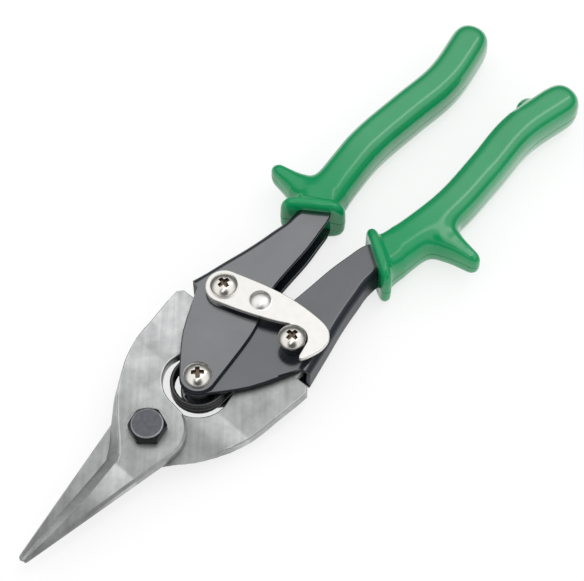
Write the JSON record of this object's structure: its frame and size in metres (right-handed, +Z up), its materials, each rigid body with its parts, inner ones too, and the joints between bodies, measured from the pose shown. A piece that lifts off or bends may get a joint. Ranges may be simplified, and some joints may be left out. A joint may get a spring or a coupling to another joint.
{
  "type": "aviation snips",
  "caption": "Compound-action hand snips for sheet metal: two pivoting blades worked by folded steel handles with moulded grips, a return spring and a swinging latch.",
  "frame": {"origin": "on the axis of the blades' main pivot, on the surface that the snips lie on, which is the back face of the pivot nut", "axes": "+X from the main pivot along the tool towards the grips, +Y towards the handle that carries the latch, +Z up through the main pivot towards the bolt head"},
  "size_m": [0.2507, 0.0774, 0.022],
  "materials": {
    "blade_steel": "satin forged steel, tumbled, ground at the jaws",
    "black_oxide": "black oxide, satin",
    "black_paint": "glossy black paint",
    "grip": "glossy moulded vinyl",
    "nickel": "bright nickel plate",
    "latch_plate": "bright nickel plate, stamped",
    "spring_steel": "blackened spring wire, glossy"
  },
  "bodies": {
    "front_blade": {"front_blade": "blade_steel", "pivot_bolt": "black_oxide", "pivot_washer": "nickel", "pivot_nut": "black_oxide"},
    "rear_blade": {"rear_blade": "blade_steel"},
    "left_handle": {"left_handle_frame": "black_paint", "left_grip": "grip", "left_link_screw": "nickel", "left_link_nut": "black_oxide", "left_tail_bush": "nickel", "left_tail_spacers": "nickel", "latch_bush": "nickel", "handle_pivot_screw": "nickel", "handle_pivot_bush": "nickel", "handle_pivot_nut": "black_oxide", "return_spring": "spring_steel"},
    "right_handle": {"right_handle_frame": "black_paint", "right_grip": "grip", "catch_screw": "nickel", "catch_collar": "nickel", "catch_nut": "black_oxide", "right_tail_bush": "nickel", "right_tail_spacers": "nickel"},
    "latch": {"latch": "latch_plate"}
  },
  "joints": [
    {"name": "blades_open", "type": "hinge", "parent": "front_blade", "child": "rear_blade", "pos_m": [0, 0, 0], "axis": [0, 0, -1], "range_deg": [0, 17.8]},
    {"name": "left_link_turn", "type": "hinge", "parent": "front_blade", "child": "left_handle", "pos_m": [0.052, 0.0148, 0], "axis": [0, 0, 1], "range_deg": [0, 8.2]},
    {"name": "handle_open", "type": "hinge", "parent": "left_handle", "child": "right_handle", "pos_m": [0.0233, 0, 0], "axis": [0, 0, -1], "range_deg": [0, 34]},
    {"name": "latch_swing", "type": "hinge", "parent": "left_handle", "child": "latch", "pos_m": [0.052, 0.0148, 0], "axis": [0, 0, 1], "range_deg": [0, 68]}
  ],
  "couplings": [
    {"joint": "blades_open", "follows": "handle_open", "ratio": 0.522},
    {"joint": "left_link_turn", "follows": "handle_open", "ratio": 0.239},
    {"joint": "latch_swing", "follows": "handle_open", "ratio": 2}
  ]
}
